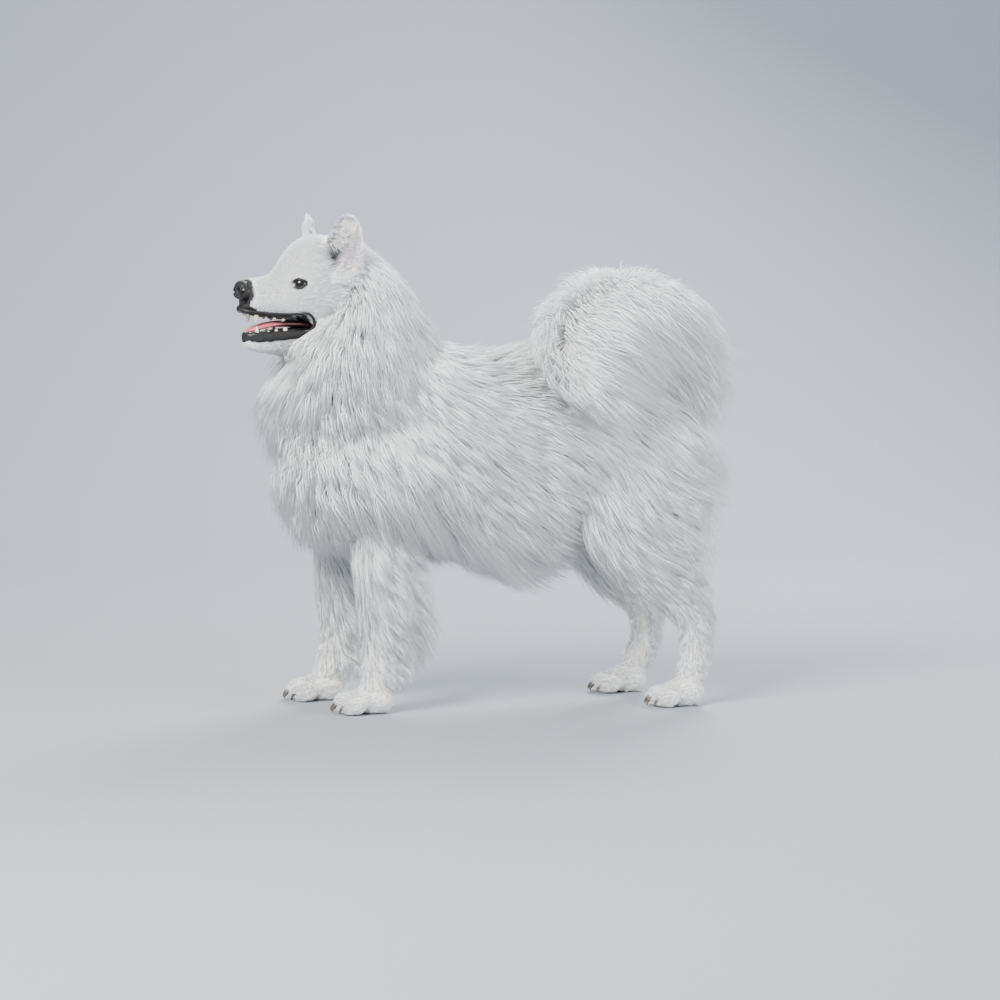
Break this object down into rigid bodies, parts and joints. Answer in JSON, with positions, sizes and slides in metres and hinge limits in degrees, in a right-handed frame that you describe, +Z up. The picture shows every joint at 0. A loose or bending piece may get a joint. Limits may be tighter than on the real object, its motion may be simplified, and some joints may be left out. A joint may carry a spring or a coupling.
{
  "type": "samoyed dog, standing life-size model",
  "caption": "Life-size still model of a standing white Samoyed dog with a thick coat, open mouth, prick ears and a plumed tail curled over its back.",
  "frame": {"origin": "on the floor under the middle of the dog's bounding box", "axes": "-X the way the body faces, +Y the dog's right, +Z up"},
  "size_m": [0.7676, 0.3468, 0.7351],
  "materials": {
    "coat": "thick white fur, matt",
    "nose": "black pebbled skin, moist",
    "eye": "dark brown, wet gloss",
    "tongue": "pink, moist",
    "lips": "black skin, moist",
    "teeth": "ivory, glossy",
    "claws": "dark horn, satin"
  },
  "bodies": {
    "root": {"head": "coat", "jaw": "coat", "tongue": "tongue", "nose": "nose", "eye_left": "eye", "eye_right": "eye", "ear_left": "coat", "ear_right": "coat", "neck": "coat", "chest": "coat", "loin": "coat", "tail_root": "coat", "tail_arch": "coat", "tail_end": "coat", "foreleg_left": "coat", "foreleg_right": "coat", "forepaw_left": "coat", "forepaw_right": "coat", "thigh_left": "coat", "thigh_right": "coat", "hock_left": "coat", "hock_right": "coat", "hindpaw_left": "coat", "hindpaw_right": "coat"}
  },
  "joints": []
}
